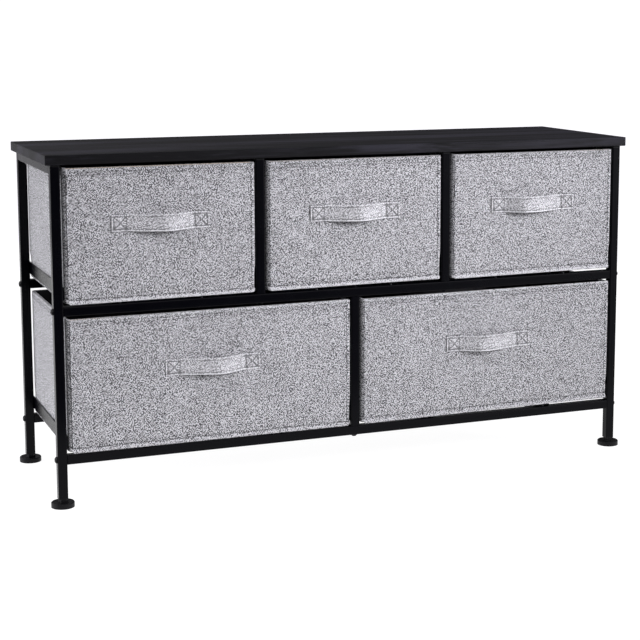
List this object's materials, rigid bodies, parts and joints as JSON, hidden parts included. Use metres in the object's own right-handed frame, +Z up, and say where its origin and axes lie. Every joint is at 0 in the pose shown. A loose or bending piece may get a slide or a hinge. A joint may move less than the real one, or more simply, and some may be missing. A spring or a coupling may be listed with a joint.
{
  "type": "fabric drawer dresser",
  "caption": "Low, wide dresser: black square-tube steel frame on levelling feet, dark wood-grain top board and two rows of grey fabric drawers with sewn pull straps.",
  "frame": {"origin": "on the floor, under the middle of the whole object's bounding box, pull straps included", "axes": "+X to the right along the front, +Y to the back, +Z up; the drawers open towards -Y"},
  "size_m": [1.005, 0.3174, 0.545],
  "materials": {
    "board": "charcoal wood-grain foil, satin",
    "frame_paint": "black powder coat, fine and low in sheen",
    "bolts": "blackened steel",
    "zinc_steel": "bright zinc",
    "black_plastic": "moulded, matte",
    "drawer_fabric": "heathered grey linen-look weave",
    "strap_fabric": "heathered grey weave, folded and stitched",
    "lining_fabric": "non-woven, matte",
    "card": "raw pressed board",
    "base_board": "pressed board in grey non-woven fabric"
  },
  "bodies": {
    "frame": {"top_board": "board", "left_front_leg": "frame_paint", "left_rear_leg": "frame_paint", "right_front_leg": "frame_paint", "right_rear_leg": "frame_paint", "left_top_rail": "frame_paint", "left_middle_side_bar": "frame_paint", "left_bottom_side_bar": "frame_paint", "right_top_rail": "frame_paint", "right_middle_side_bar": "frame_paint", "right_bottom_side_bar": "frame_paint", "front_middle_rail": "frame_paint", "front_bottom_rail": "frame_paint", "lower_front_post": "frame_paint", "upper_left_front_post": "frame_paint", "upper_right_front_post": "frame_paint", "rear_middle_rail": "frame_paint", "rear_bottom_rail": "frame_paint", "lower_rear_post": "frame_paint", "upper_left_rear_post": "frame_paint", "upper_right_rear_post": "frame_paint", "frame_bolts": "bolts", "tube_nuts": "zinc_steel", "leg_top_plugs": "black_plastic", "leg_end_inserts": "black_plastic", "post_top_pegs": "black_plastic", "board_screws": "zinc_steel", "runner_screws": "zinc_steel", "upper_runners": "frame_paint", "lower_runners": "frame_paint"},
    "left_front_foot": {"left_front_foot": "black_plastic"},
    "left_rear_foot": {"left_rear_foot": "black_plastic"},
    "right_front_foot": {"right_front_foot": "black_plastic"},
    "right_rear_foot": {"right_rear_foot": "black_plastic"},
    "upper_left_drawer": {"upper_left_cover": "drawer_fabric", "upper_left_stiffeners": "card", "upper_left_lining": "lining_fabric", "upper_left_base_panel": "base_board", "upper_left_pull_strap": "strap_fabric"},
    "upper_middle_drawer": {"upper_middle_cover": "drawer_fabric", "upper_middle_stiffeners": "card", "upper_middle_lining": "lining_fabric", "upper_middle_base_panel": "base_board", "upper_middle_pull_strap": "strap_fabric"},
    "upper_right_drawer": {"upper_right_cover": "drawer_fabric", "upper_right_stiffeners": "card", "upper_right_lining": "lining_fabric", "upper_right_base_panel": "base_board", "upper_right_pull_strap": "strap_fabric"},
    "lower_left_drawer": {"lower_left_cover": "drawer_fabric", "lower_left_stiffeners": "card", "lower_left_lining": "lining_fabric", "lower_left_base_panel": "base_board", "lower_left_pull_strap": "strap_fabric"},
    "lower_right_drawer": {"lower_right_cover": "drawer_fabric", "lower_right_stiffeners": "card", "lower_right_lining": "lining_fabric", "lower_right_base_panel": "base_board", "lower_right_pull_strap": "strap_fabric"}
  },
  "joints": [
    {"name": "upper_left_drawer_slide", "type": "slide", "parent": "frame", "child": "upper_left_drawer", "axis": [0, -1, 0], "range_m": [0, 0.2]},
    {"name": "upper_middle_drawer_slide", "type": "slide", "parent": "frame", "child": "upper_middle_drawer", "axis": [0, -1, 0], "range_m": [0, 0.2]},
    {"name": "upper_right_drawer_slide", "type": "slide", "parent": "frame", "child": "upper_right_drawer", "axis": [0, -1, 0], "range_m": [0, 0.2]},
    {"name": "lower_left_drawer_slide", "type": "slide", "parent": "frame", "child": "lower_left_drawer", "axis": [0, -1, 0], "range_m": [0, 0.2]},
    {"name": "lower_right_drawer_slide", "type": "slide", "parent": "frame", "child": "lower_right_drawer", "axis": [0, -1, 0], "range_m": [0, 0.2]},
    {"name": "left_front_foot_levelling", "type": "slide", "parent": "frame", "child": "left_front_foot", "axis": [0, 0, -1], "range_m": [0, 0.008]},
    {"name": "left_rear_foot_levelling", "type": "slide", "parent": "frame", "child": "left_rear_foot", "axis": [0, 0, -1], "range_m": [0, 0.008]},
    {"name": "right_front_foot_levelling", "type": "slide", "parent": "frame", "child": "right_front_foot", "axis": [0, 0, -1], "range_m": [0, 0.008]},
    {"name": "right_rear_foot_levelling", "type": "slide", "parent": "frame", "child": "right_rear_foot", "axis": [0, 0, -1], "range_m": [0, 0.008]}
  ]
}
